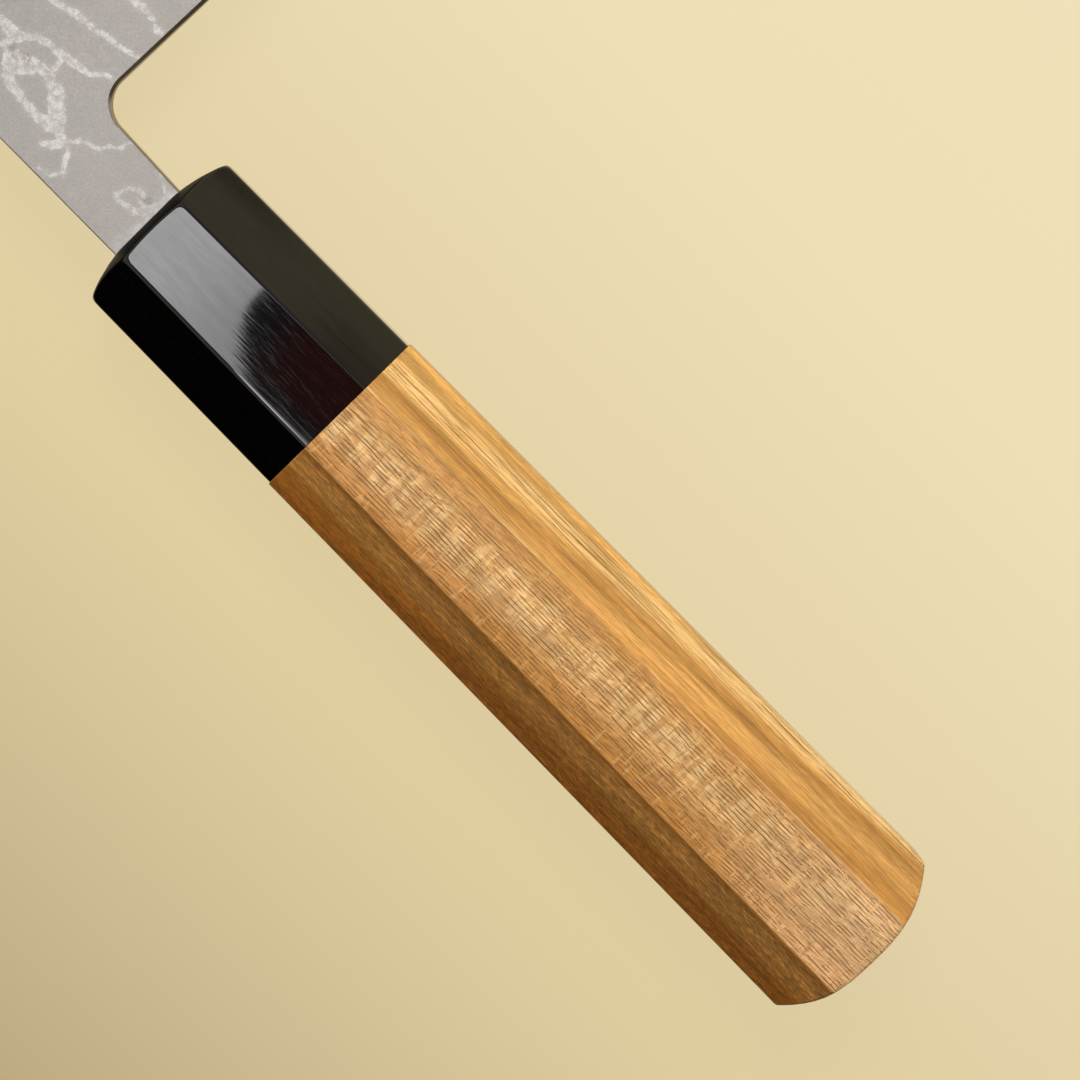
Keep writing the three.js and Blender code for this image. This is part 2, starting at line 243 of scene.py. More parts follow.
def octagon(distance, skin):
    """The handle's section behind the mouth, as height and thickness, with eased ridges."""
    half_height = (MOUTH_HEIGHT + HEIGHT_TAPER * distance) / 2 + skin["step"]
    half_width = (MOUTH_WIDTH + WIDTH_TAPER * distance) / 2 + skin["step"]
    ease = skin["ridge_ease"]
    inner_height = half_height - FACET_DROP
    inner_width = half_width - FACET_REACH
    quarter = [(half_height, inner_width), (inner_height, half_width)]
    upper = quarter + [(-y, z) for y, z in reversed(quarter)]
    corners = np.array(upper + [(-y, -z) for y, z in upper])
    points = []
    for before, corner, after in zip(np.roll(corners, 1, 0), corners, np.roll(corners, -1, 0)):
        start = corner + ease * unit(before - corner)
        end = corner + ease * unit(after - corner)
        facet_end = after + ease * unit(corner - after)
        for t in np.linspace(0, 1, RIDGE_STEPS + 1):
            points.append((1 - t) ** 2 * start + 2 * t * (1 - t) * corner + t**2 * end)
        points.extend(end + t * (facet_end - end) for t in FACET_SHARES)
    return np.array(points)


def crown_fall(points, distance, face):
    """How far a crowned end falls back at points of its section."""
    y = 2 * np.abs(points[:, 0]) / (MOUTH_HEIGHT + HEIGHT_TAPER * distance)
    z = 2 * np.abs(points[:, 1]) / (MOUTH_WIDTH + WIDTH_TAPER * distance)
    land, power = face["land"], face["power"]
    along_y, along_z = (np.clip((share - land) / (1 - land), 0, None) ** power for share in (y, z))
    return face["crown"] * along_y + face["side_crown"] * along_z * (1 + face["corner"] * y**2)


def crowned_ring(end, inward, skin, face, section, share, back):
    """One ring of a crowned end: the section's points, scaled, and set back by crown and rim."""
    fall = crown_fall(section, -end, face) + back
    widening = octagon(1, skin) - octagon(0, skin)
    grown = section - inward * share * fall[:, None] * widening
    return np.column_stack([end + inward * fall, grown])


def inset_share(end, inset):
    """The scale that draws the section of a crowned end in at its top."""
    return 1 - 2 * inset / (MOUTH_HEIGHT - HEIGHT_TAPER * end)


def rim_rings(end, inward, skin, face):
    """Rings over the eased rim of a crowned end, from its face out to the facets."""
    outline = octagon(-end, skin)
    rings = []
    for i in range(RIM_STEPS + 1):
        angle = math.pi / 2 * (1 - i / RIM_STEPS)
        share = inset_share(end, FACE_EASE * (1 - math.cos(angle)))
        back = FACE_EASE * (1 - math.sin(angle))
        rings.append(crowned_ring(end, inward, skin, face, outline * share, share, back))
    return rings


def face_rings(end, inward, skin, face, inner):
    """Rings of a crowned end from an inner outline to the start of its rim."""
    edge_share = inset_share(end, FACE_EASE)
    outer = octagon(-end, skin) * edge_share
    rings = []
    for t in np.linspace(0, 1, CROWN_STEPS + 1)[:-1]:
        section = inner + t * (outer - inner)
        rings.append(crowned_ring(end, inward, skin, face, section, t * edge_share, 0))
    return rings


def buffed_rings(skin, face):
    """Rings behind the mouth, over which the ridges that the buffing wheel rounded become crisp."""
    rings = []
    for t in (np.linspace(0, 1, BUFFED_STEPS + 1) ** 2)[1:]:
        wear = 1 - math.sqrt(1 - (1 - t) ** 2)
        ease = skin["ridge_ease"] + (BUFFED_EASE - skin["ridge_ease"]) * wear
        local = {"step": skin["step"], "ridge_ease": ease}
        section = octagon(0, local)
        back = crown_fall(section, 0, face) + FACE_EASE + t * BUFFED_REACH
        grown = section + (octagon(1, local) - section) * back[:, None]
        rings.append(np.column_stack([-back, grown]))
    return rings


def around(section, x):
    """A section as a ring across the handle at one place on its axis."""
    return np.column_stack([np.full(len(section), x), section])


def joint_rings(skin, inward):
    """The facets' slightly eased end at the joint between horn and wood."""
    flat = octagon(-JOINT_X, skin)
    inset = flat * (1 - JOINT_EASE / (MOUTH_HEIGHT / 2))
    return [around(flat, JOINT_X + inward * JOINT_EASE), around(inset, JOINT_X)]


def circle(radius):
    """A round section whose points lie in the same directions as the octagon's."""
    directions = octagon(0, HORN_SKIN)
    return radius * directions / np.linalg.norm(directions, axis=1)[:, None]


def slot_section(grow):
    """The neck's outline across the handle, grown all round, in the octagon's directions."""
    middle = np.array([(NECK_TOP - NECK_BOTTOM) / 2, 0])
    half = np.array([(NECK_TOP + NECK_BOTTOM) / 2, NECK_THICKNESS / 2]) + grow
    directions = circle(1)
    reach = np.min(half / np.maximum(np.abs(directions), 1e-9), axis=1)
    return middle + directions * reach[:, None]


def make_ferrule(material):
    lip = slot_section(SEAL_ROOM)
    tang = slot_section(GLUE_GAP - SHOULDER_STEP / 2)
    buffed = {"step": HORN_SKIN["step"], "ridge_ease": BUFFED_EASE}
    rings = face_rings(0, -1, buffed, MOUTH_FACE, lip)
    rings += rim_rings(0, -1, buffed, MOUTH_FACE)
    rings += buffed_rings(HORN_SKIN, MOUTH_FACE)
    rings += joint_rings(HORN_SKIN, 1)
    rings += [around(circle(DOWEL_BORE), JOINT_X), around(circle(DOWEL_BORE), DOWEL_FRONT)]
    rings += [around(tang, DOWEL_FRONT), around(tang, -SEAL_DEPTH), around(lip, -SEAL_DEPTH)]
    return ring_piece("horn_ferrule", rings, material, "horn", "ferrule", loop=True)


def make_grip(material):
    middle = octagon(-BUTT_X, WOOD_SKIN) * BUTT_CENTRE
    rings = face_rings(BUTT_X, 1, WOOD_SKIN, BUTT_FACE, middle)
    rings += rim_rings(BUTT_X, 1, WOOD_SKIN, BUTT_FACE)
    rings += joint_rings(WOOD_SKIN, -1)
    rings += [around(circle(DOWEL_BORE), JOINT_X), around(circle(DOWEL_BORE), DOWEL_BACK)]
    rings += [around(circle(TANG_BORE), DOWEL_BACK), around(circle(TANG_BORE), BORE_END)]
    return ring_piece("wooden_grip", rings, material, "cherry_wood", "handle_body")


def make_seal(material):
    """The resin collar, drawn up a little along the horn and along the neck as it set."""
    outer = slot_section(GLUE_GAP + SEAL_WALL)
    inner = slot_section(GLUE_GAP)
    back = -SEAL_DEPTH + GLUE_GAP
    rings = [around(inner, back), around(outer, back)]
    for t in np.linspace(0, 1, SEAL_STEPS):
        dip = SEAL_SAG * (1 - (2 * t - 1) ** 2)
        rings.append(around(outer + t * (inner - outer), -SEAL_RECESS - dip))
    return ring_piece("resin_seal", rings, material, "dark_resin", "mouth_seal", loop=True)


# Blade shapes


def spine_y(x):
    along = np.clip((x - NECK_LENGTH - SPINE_STRAIGHT) / (BLADE_LENGTH - SPINE_STRAIGHT), 0, 1)
    return NECK_TOP - TIP_DROP * along**SPINE_POWER


def edge_y(x):
    along = np.clip((x - NECK_LENGTH) / BLADE_LENGTH, 0, 1)
    return HEEL_Y + (NECK_TOP - TIP_DROP - HEEL_Y) * along**EDGE_POWER


def flat_half(x, y):
    """Half the thickness of the blade's flats, which thin evenly to the tip and to the edge."""
    tang = NECK_THICKNESS + (TANG_TIP_THICKNESS - NECK_THICKNESS) * x / TANG_END
    at_spine = np.where(x < 0, tang, SPINE_THICKNESS - DISTAL_TAPER * (x - NECK_LENGTH))
    return (at_spine - WEDGE_TAPER * (NECK_TOP - y)) / 2


def half_thickness(x, y):
    """Half the blade's thickness: flat, swelled bevel and the small bevel of the edge."""
    spine, edge = spine_y(x), edge_y(x)
    share = np.maximum((spine - edge) / HEEL_HEIGHT, 1e-6)
    shoulder = edge + BEVEL_HEIGHT * share
    lip = edge + EDGE_BEVEL_HEIGHT * share
    lip_half = EDGE_BEVEL_THICKNESS / 2 * share
    up = np.clip((y - lip) / (shoulder - lip), 0, 1)
    swell = 4 * BEVEL_SWELL * share * up * (1 - up)
    bevel = lip_half + (flat_half(x, shoulder) - lip_half) * up + swell
    small = lip_half * np.clip((y - edge) / (lip - edge), 0, 1)
    half = np.where(y >= shoulder, flat_half(x, y), np.where(y >= lip, bevel, small))
    return half * np.clip((TIP_X - x) / TIP_FADE, 0, 1)


def lamination_y(x):
    """Where the cladding runs out and the core begins to show, found by halving."""
    low, high = edge_y(x), spine_y(x)
    for _ in range(HALVINGS):
        middle = (low + high) / 2
        inside = half_thickness(x, middle) > CORE_HALF
        low, high = np.where(inside, low, middle), np.where(inside, middle, high)
    return high


def tang_border(root, x):
    return root + (TANG_TIP_HEIGHT / 2 - root) * x / TANG_END


def cladding_end():
    """The place near the tip where even the spine is no thicker than the core."""
    low, high = TIP_X - TIP_FADE, TIP_X
    for _ in range(HALVINGS):
        middle = (low + high) / 2
        thick = half_thickness(middle, spine_y(middle)) > CORE_HALF
        low, high = (middle, high) if thick else (low, middle)
    return low


CLADDING_END = cladding_end()


def border_columns():
    """Lower and upper border points of the cladding, by columns from the tang's end to the tip,
    with the number of the column where the line between cladding and core begins."""
    lower, upper = [], []
    root_bottom, root_top = NECK_BOTTOM - SHOULDER_STEP, NECK_TOP - SHOULDER_STEP
    for x in np.linspace(TANG_END, SHOULDER_X, TANG_COLUMNS):
        lower.append((x, -tang_border(root_bottom, x)))
        upper.append((x, tang_border(root_top, x)))
    neck_end = -NECK_BOTTOM - NECK_FLARE
    for x in [SHOULDER_X, *np.linspace(0, CHOIL_START, NECK_COLUMNS)]:
        lower.append((x, -NECK_BOTTOM - NECK_FLARE * max(0, x) / CHOIL_START))
        upper.append((x, NECK_TOP))
    arc = [
        (CHOIL_START + CHOIL_RADIUS * math.sin(a), neck_end - CHOIL_RADIUS * (1 - math.cos(a)))
        for a in np.linspace(0, math.pi / 2 + math.atan(HEEL_LEAN), CHOIL_COLUMNS)[1:]
    ]
    arc_x, arc_y = arc[-1]
    front = np.linspace(arc_y, lamination_y(NECK_LENGTH), FRONT_COLUMNS)[1:]
    turn = arc + [(arc_x - HEEL_LEAN * (arc_y - y), y) for y in front]
    fan_end = NECK_LENGTH + FAN_REACH
    for i, point in enumerate(turn):
        lower.append(point)
        upper.append((CHOIL_START + (fan_end - CHOIL_START) * (i + 1) / len(turn), NECK_TOP))
    heel_column = len(lower) - 1
    for t in np.linspace(0, 1, EDGE_COLUMNS)[1:]:
        x = NECK_LENGTH + (CLADDING_END - NECK_LENGTH) * t
        top = x + FAN_REACH * math.exp(-(x - NECK_LENGTH) / FAN_FADE) * (1 - t)
        lower.append((x, float(lamination_y(x))))
        upper.append((top, float(spine_y(top))))
    return np.array(lower), np.array(upper), heel_column


LOWER, UPPER, HEEL_COLUMN = border_columns()
GROUND_LINE = LOWER[: HEEL_COLUMN + 1]


def row_shares(length):
    """Shares of a column's length for its rows, close together in the eased borders."""
    near = np.array(EASE_ROWS) / max(length, 4 * EASE_ROWS[-1])
    between = np.linspace(near[-1], 1 - near[-1], ROWS_BETWEEN)[1:-1]
    return np.concatenate([near, between, 1 - near[::-1]])


def beside(points, start, end):
    """For every point, the share of a stretch where it is nearest, and its distance there."""
    along = end - start
    t = np.clip((points - start) @ along / max(float(along @ along), 1e-12), 0, 1)
    return t, np.linalg.norm(points - start - t[:, None] * along, axis=1)


def distance_to_line(points, line):
    """Distance of every point to an open polyline."""
    best = np.full(len(points), np.inf)
    for start, end in zip(line[:-1], line[1:]):
        best = np.minimum(best, beside(points, start, end)[1])
    return best


def eased_half(points):
    """Half thickness of the cladding, ground off from neck to heel, rounded over at the spine."""
    half = half_thickness(points[:, 0], points[:, 1])
    spare = np.maximum(half - CORE_HALF, 0) * EASE_LIMIT
    reach = CHOIL_EASE * np.interp(points[:, 0], (CHOIL_START, NECK_LENGTH), (NECK_SHARE, 1))
    ground = np.clip(1 - distance_to_line(points, GROUND_LINE) / reach, 0, 1)
    rounded = np.clip(1 - distance_to_line(points, UPPER) / SPINE_EASE, 0, 1)
    half = half - np.minimum(CHOIL_SLOPE * reach, spare) * ground
    return half - np.minimum(SPINE_EASE, spare) * (1 - np.sqrt(1 - rounded**2))


# Bright veins that the photograph shows, as photo pixels with half widths in pixels
VEINS = {
    "upper": ((48, -4, 3.5), (54, 1, 3.5), (62, 6, 3), (73, 12, 4), (83, 20, 4), (92, 28, 3),
        (99, 33, 3.5), (109, 37, 4), (116, 44, 2.5), (126, 51, 2.2), (133, 54, 3), (140, 58, 1.8)),
    "top": ((126, -4, 3), (133, 0, 3.5), (140, 5, 4), (147, 11, 3.5), (152, 18, 3), (155, 26, 3),
        (158, 32, 3.5), (164, 36, 2.5)),
    "middle": ((-6, 17, 5), (1, 20, 6), (9, 28, 6), (18, 36, 6), (26, 37, 4), (35, 37, 4),
        (44, 41, 4), (52, 46, 3.5), (61, 54, 4.5), (68, 59, 5), (75, 64, 4), (83, 70, 4),
        (92, 75, 3.5), (104, 75, 3), (112, 79, 2.5), (118, 80, 1.5)),
    "bridge": ((68, 60, 3), (62, 60, 2.5), (57, 66, 3), (51, 71, 2.5)),
    "ring start": ((-6, 46, 3), (3, 44, 4), (12, 38, 4)),
    "ring left": ((5, 46, 4), (8, 54, 4), (7, 64, 5), (7, 74, 5.5), (11, 84, 6), (18, 93, 4.5),
        (25, 103, 4.5), (32, 112, 5), (41, 119, 6), (51, 125, 7), (58, 131, 5)),
    "ring fill": ((9, 66, 7), (20, 67, 7), (31, 70, 5)),
    "ring right": ((10, 50, 3), (20, 55, 4), (30, 61, 5), (40, 67, 5.5), (47, 74, 5), (52, 82, 6),
        (55, 92, 8), (56, 102, 9), (57, 112, 9), (59, 121, 7), (59, 131, 5)),
    "tail": ((58, 130, 4), (61, 140, 5), (70, 143, 3), (80, 140, 2.5), (88, 143, 2.2),
        (96, 149, 2.2), (107, 146, 2.2), (122, 148, 2.2), (131, 141, 1.8)),
    "lower": ((41, 143, 3), (51, 145, 4), (61, 143, 5)),
    "lower ring": ((66, 143, 4), (68, 152, 2.5), (64, 163, 3), (61, 173, 3.5), (50, 176, 1.5),
        (38, 168, 1)),
    "neck ring": ((130, 209, 2.5), (122, 203, 2), (116, 199, 2.5), (117, 194, 2.5), (123, 190, 2),
        (133, 189, 2.5), (141, 191, 3), (144, 197, 3)),
    "neck spray": ((129, 206, 3), (135, 212, 4), (143, 212, 5), (150, 208, 4), (156, 204, 3)),
    "neck haze": ((137, 198, 1.2), (143, 205, 3)),
    "neck edge": ((159, 169, 1.5), (162, 178, 1.7), (165, 187, 2), (164, 197, 2)),
}
PITS = {"in the ring": (26, 58, 6), "at the ring's left": (12, 48, 5), "in the neck": (148, 201, 6)}
PIXELS_PER_MM = 7.7
VEINS_END = 33.0
NO_VEIN = -5.0


def on_blade(pixel):
    """The place on the blade's right face that the photograph shows at a pixel."""
    right, up, _ = camera_axes()
    across, down = (value - PHOTO_SIZE / 2 for value in pixel)
    ray = LOOK * FOCAL_PIXELS + right * across - up * down
    spot = EYE + ray * ((NECK_THICKNESS / 2 - EYE.z) / ray.z)
    return np.array(spot[:2])


def mark_veins(piece, side):
    """How deep every point lies in a drawn vein or pit, and how far from the ground border."""
    mesh = piece.data
    places = np.empty(3 * len(mesh.vertices))
    mesh.vertices.foreach_get("co", places)
    flat = (places.reshape(-1, 3) - np.array(ORIGIN))[:, :2] / MM
    depth = np.full(len(flat), NO_VEIN)
    pitted = np.full(len(flat), NO_VEIN)
    if side > 0:
        for vein in VEINS.values():
            stops = [(on_blade(stop[:2]), stop[2] / PIXELS_PER_MM) for stop in vein]
            for (start, wide), (end, narrow) in zip(stops[:-1], stops[1:]):
                t, reach = beside(flat, start, end)
                depth = np.maximum(depth, wide + t * (narrow - wide) - reach)
        for across, down, radius in PITS.values():
            reach = np.linalg.norm(flat - on_blade((across, down)), axis=1)
            pitted = np.maximum(pitted, radius / PIXELS_PER_MM - reach)
    border = distance_to_line(flat, GROUND_LINE)
    for name, values in (("vein", depth), ("pitted", pitted), ("border", border)):
        mesh.attributes.new(name, "FLOAT", "POINT").data.foreach_set("value", values)


def make_cladding(name, side, material, node):
    """One damascus cladding: its ground outside, its flat inside against the core and its walls."""
    columns = len(LOWER)
    shares = [row_shares(np.linalg.norm(u - l)) for l, u in zip(LOWER, UPPER)]
    rows = len(shares[0])
    flat = np.concatenate([l + s[:, None] * (u - l) for l, u, s in zip(LOWER, UPPER, shares)])
    height = np.maximum(eased_half(flat), CORE_HALF)
    on_line = np.arange(HEEL_COLUMN, columns) * rows
    height[on_line] = CORE_HALF
    outer = np.column_stack([flat, side * height])
    inner_low = np.column_stack([LOWER, np.full(columns, side * CORE_HALF)])
    inner_high = np.column_stack([UPPER, np.full(columns, side * CORE_HALF)])
    faces = loft_faces(columns, rows, closed=False)
    low, high = (range(len(outer) + i * columns, len(outer) + (i + 1) * columns) for i in range(2))
    bottom, top = range(0, columns * rows, rows), range(rows - 1, columns * rows, rows)
    faces += bridge(low, high) + bridge(high, top)
    faces += bridge(low[: HEEL_COLUMN + 1], bottom[: HEEL_COLUMN + 1])
    faces.append((low[0], *range(rows), high[0]))
    points = np.concatenate([outer, inner_low, inner_high])
    piece = finish_mesh(name, points, faces, material, "damascus_steel", node)
    mark_veins(piece, side)
    return piece


def make_core(material):
    """The core: flat under the claddings, bare and ground to the edge below them."""
    columns = len(LOWER)
    points = []
    for z in (CORE_HALF, -CORE_HALF):
        points += [(x, y, z) for x, y in LOWER]
        points += [(x, y, z) for x, y in UPPER]
    right_low, right_high, left_low, left_high = (
        range(i * columns, (i + 1) * columns) for i in range(4)
    )
    faces = bridge(right_low, right_high) + bridge(left_low, left_high)
    faces += bridge(right_high, left_high)
    faces += bridge(right_low[: HEEL_COLUMN + 1], left_low[: HEEL_COLUMN + 1])
    faces.append((right_low[0], right_high[0], left_high[0], left_low[0]))
    tip_columns = np.linspace(CLADDING_END, TIP_X, TIP_COLUMNS)[1:-1]
    edge_columns = np.concatenate([LOWER[HEEL_COLUMN:, 0], tip_columns])
    rows = len(BARE_ROWS)
    for side in (1, -1):
        start = len(points)
        for x in edge_columns:
            clad = x <= CLADDING_END
            bottom, top = edge_y(x), float(lamination_y(x) if clad else spine_y(x))
            y = bottom + BARE_ROWS * (top - bottom)
            half = half_thickness(np.full(rows, x), y)
            half[-1] = CORE_HALF if clad else min(CORE_HALF, half_thickness(x, top))
            half[0] = 0
            points += [(x, yy, side * h) for yy, h in zip(y, half)]
        faces += loft_faces(len(edge_columns), rows, closed=False, start=start)
    size = len(edge_columns) * rows
    tip = len(points)
    points.append((TIP_X, spine_y(TIP_X), 0))
    right, left = range(tip - 2 * size, tip - size), range(tip - size, tip)
    faces += bridge(right[:rows], left[:rows])
    for side in (right, left):
        faces += [(a, b, tip) for a, b in zip(side[-rows:-1], side[-rows + 1 :])]
    bare_spine = slice((columns - HEEL_COLUMN) * rows - 1, None, rows)
    faces += bridge(right[bare_spine], left[bare_spine])
    faces.append((right[-1], tip, left[-1]))
    return finish_mesh("core_blade", np.array(points), faces, material, "core_steel", "core_steel")


# Materials


class Shader:
    """Adds nodes to one material, or to the world, and links them."""

    def __init__(self, name, owner=None):
        self.material = owner or bpy.data.materials.new(name)
        self.material.use_nodes = True
        self.tree = self.material.node_tree
        self.surface = self.tree.nodes.get("Principled BSDF")

    def node(self, kind, inputs=(), **settings):
        made = self.tree.nodes.new(kind)
        for key, value in settings.items():
            setattr(made, key, value)
        for key, value in dict(inputs).items():
            self.feed(made.inputs[key], value)
        return made

    def feed(self, socket, value):
        if isinstance(value, bpy.types.NodeSocket):
            self.tree.links.new(value, socket)
        else:
            socket.default_value = value

    def math(self, operation, a, b=0, c=0, clamp=False):
        inputs = {0: a, 1: b, 2: c}
        return self.node("ShaderNodeMath", inputs, operation=operation, use_clamp=clamp).outputs[0]

    def plus(self, a, b):
        return self.math("ADD", a, b)

    def minus(self, a, b):
        return self.math("SUBTRACT", a, b)

    def times(self, a, b):
        return self.math("MULTIPLY", a, b)

    def fused(self, a, b, c):
        """The product of a and b, plus c."""
        return self.math("MULTIPLY_ADD", a, b, c)

    def place(self):
        """Position in the knife's frame, in millimetres."""
        coordinates = self.node("ShaderNodeTexCoord").outputs["Object"]
        moved = self.node("ShaderNodeVectorMath", {0: coordinates, 1: ORIGIN}, operation="SUBTRACT")
        inputs = {0: moved.outputs[0], "Scale": 1 / MM}
        return self.node("ShaderNodeVectorMath", inputs, operation="SCALE").outputs[0]

    def stretch(self, vector, scale, rotation=(0, 0, 0)):
        inputs = {"Vector": vector, "Scale": scale, "Rotation": rotation}
        return self.node("ShaderNodeMapping", inputs).outputs[0]

    def noise(self, vector, scale=1, detail=2, **settings):
        """Noise of one scale, or of a scale for each axis."""
        if isinstance(scale, tuple):
            vector, scale = self.stretch(vector, scale), 1
        inputs = {"Vector": vector, "Scale": scale, "Detail": detail}
        inputs.update((key.title(), value) for key, value in settings.items())
        return self.node("ShaderNodeTexNoise", inputs).outputs[0]

    def mark(self, name):
        """A value that the mesh holds at its points."""
        return self.node("ShaderNodeAttribute", attribute_name=name).outputs["Fac"]

    def spread(self, value, low, high, to_low=0, to_high=1, smooth=True):
        inputs = {0: value, 1: low, 2: high, 3: to_low, 4: to_high}
        kind = "SMOOTHSTEP" if smooth else "LINEAR"
        return self.node("ShaderNodeMapRange", inputs, interpolation_type=kind).outputs[0]

    def ramp(self, value, stops):
        """A colour that follows a value through stops of (value, colour)."""
        low, high = stops[0][0], stops[-1][0]
        made = self.node("ShaderNodeValToRGB", {0: self.spread(value, low, high, smooth=False)})
        elements = made.color_ramp.elements
        while len(elements) < len(stops):
            elements.new(0.5)
        for element, (stop, color) in zip(elements, stops):
            element.position = (stop - low) / (high - low)
            element.color = (*color, 1)
        return made.outputs[0]

    def lines(self, value, period, sway):
        """Thin lines at a period along a value, which a sway moves off their places."""
        turn = self.fused(value, 2 * math.pi / period, sway)
        return self.spread(self.math("SINE", turn), 0.4, 0.95)

    def split(self, vector):
        return self.node("ShaderNodeSeparateXYZ", {0: vector}).outputs

    def join(self, x, y, z):
        return self.node("ShaderNodeCombineXYZ", {0: x, 1: y, 2: z}).outputs[0]

    def mix(self, factor, a, b, blend="MIX"):
        made = self.node("ShaderNodeMix", data_type="RGBA", blend_type=blend)
        self.feed(made.inputs["Factor"], factor)
        self.feed(made.inputs[6], a)
        self.feed(made.inputs[7], b)
        return made.outputs[2]

    def bump(self, height, distance, strength=1.0):
        inputs = {"Height": height, "Distance": distance, "Strength": strength}
        return self.node("ShaderNodeBump", inputs).outputs[0]

    def set(self, **values):
        for key, value in values.items():
            self.feed(self.surface.inputs[key.replace("_", " ")], value)
        return self.material


WHITE = (1, 1, 1, 1)
BLACK = (0, 0, 0, 1)
HORN_TINTS = {
    "black": (0.0008, 0.0006, 0.0006, 1),
    "brown": (0.0040, 0.0018, 0.0015, 1),
    "hairline": (0.010, 0.008, 0.008, 1),
}


def horn():
    """Black buffalo horn with brown streaks, smudges, hairlines and a duller front face."""
    s = Shader("polished buffalo horn")
    place = s.place()
    x, y, _ = s.split(place)
    streaks = s.noise(place, (0.05, 1.6, 1.6), detail=5, roughness=0.65)
    color = s.mix(s.spread(streaks, 0.48, 0.72), HORN_TINTS["black"], HORN_TINTS["brown"])
    hairs = s.noise(place, (0.2, 14, 14), roughness=0.6)
    hairlines = s.spread(hairs, 0.58, 0.68)
    smudges = s.noise(place, (0.14, 1.3, 1.3), detail=5, roughness=0.72)
    color = s.mix(s.times(hairlines, 0.5), color, HORN_TINTS["hairline"])
    rough = s.fused(hairlines, 0.09, 0.03)
    normal = s.split(s.node("ShaderNodeTexCoord").outputs["Normal"])
    front = s.spread(normal[0], 0.45, 0.75)
    level = s.times(s.spread(smudges, 0.3, 0.7, 0.46, 0.54), s.spread(front, 0, 1, 1, 0.05))

    # The facet towards the edge is handled most: its polish is uneven, and duller in two corners
    dull = s.times(s.spread(x, -17, -30, 0, 0.4), s.spread(y, -11, -6.5))
    dull = s.fused(s.spread(x, -20, -2, 0, 0.4), s.spread(y, -9, -11), dull)
    dull = s.plus(dull, s.spread(smudges, 0.3, 0.7, -0.16, 0.16))
    dull = s.times(dull, s.spread(normal[1], -0.5, -0.65))
    level = s.times(level, s.minus(1, dull))

    # Marks of the polishing wheel, which comb the mirrored shapes along the handle
    combs = s.noise(place, (0.04, 4, 4))
    return s.set(
        Base_Color=color,
        Roughness=s.math("MAXIMUM", rough, s.times(front, 0.4)),
        Specular_IOR_Level=level,
        IOR=1.56,
        Normal=s.bump(combs, 0.0015 * MM),
    )


WOOD_STOPS = (
    (-6.1, (0.45, 0.206, 0.045)),
    (-5.7, (0.55, 0.260, 0.068)),
    (-3.4, (0.59, 0.305, 0.090)),
    (-0.5, (0.63, 0.340, 0.112)),
    (2.2, (0.57, 0.288, 0.088)),
    (3.4, (0.53, 0.250, 0.066)),
    (4.4, (0.52, 0.232, 0.052)),
    (5.8, (0.50, 0.216, 0.042)),
    # painted shade: a dark band just past the ridge towards the spine
    (6.1, (0.38, 0.152, 0.026)),
    (7.3, (0.57, 0.262, 0.062)),
    (9.0, (0.55, 0.240, 0.047)),
    (10.4, (0.41, 0.145, 0.017)),
    (13.0, (0.36, 0.118, 0.010)),
)
EDGE_SIDE_STOPS = (
    (-12.5, (0.54, 0.283, 0.075)),
    (-9.0, (0.55, 0.295, 0.083)),
    (-8.3, (0.50, 0.252, 0.066)),
    (-7.5, (0.37, 0.170, 0.038)),
    (-6.8, (0.45, 0.218, 0.053)),
    (-5.6, (0.54, 0.278, 0.077)),
    (-4.4, (0.50, 0.243, 0.060)),
    (-3.2, (0.455, 0.203, 0.043)),
    (-2.0, (0.49, 0.232, 0.056)),
)
RIDGE_STOP = 5.9
WOOD_TINTS = {
    "pink band": (0.52, 0.250, 0.085, 1),
    "pale band": (0.86, 0.555, 0.25, 1),
    "flake": (0.57, 0.30, 0.098, 1),
    "blush": (0.70, 0.425, 0.215, 1),
    "cream": (0.75, 0.495, 0.21, 1),
    "pore": (0.20, 0.080, 0.021, 1),
    "rung": (0.27, 0.11, 0.03, 1),
    "glint": (0.84, 0.56, 0.25, 1),
    # painted highlight along the ridges towards the edge
    "painted ridge highlight": (0.80, 0.52, 0.24, 1),
}


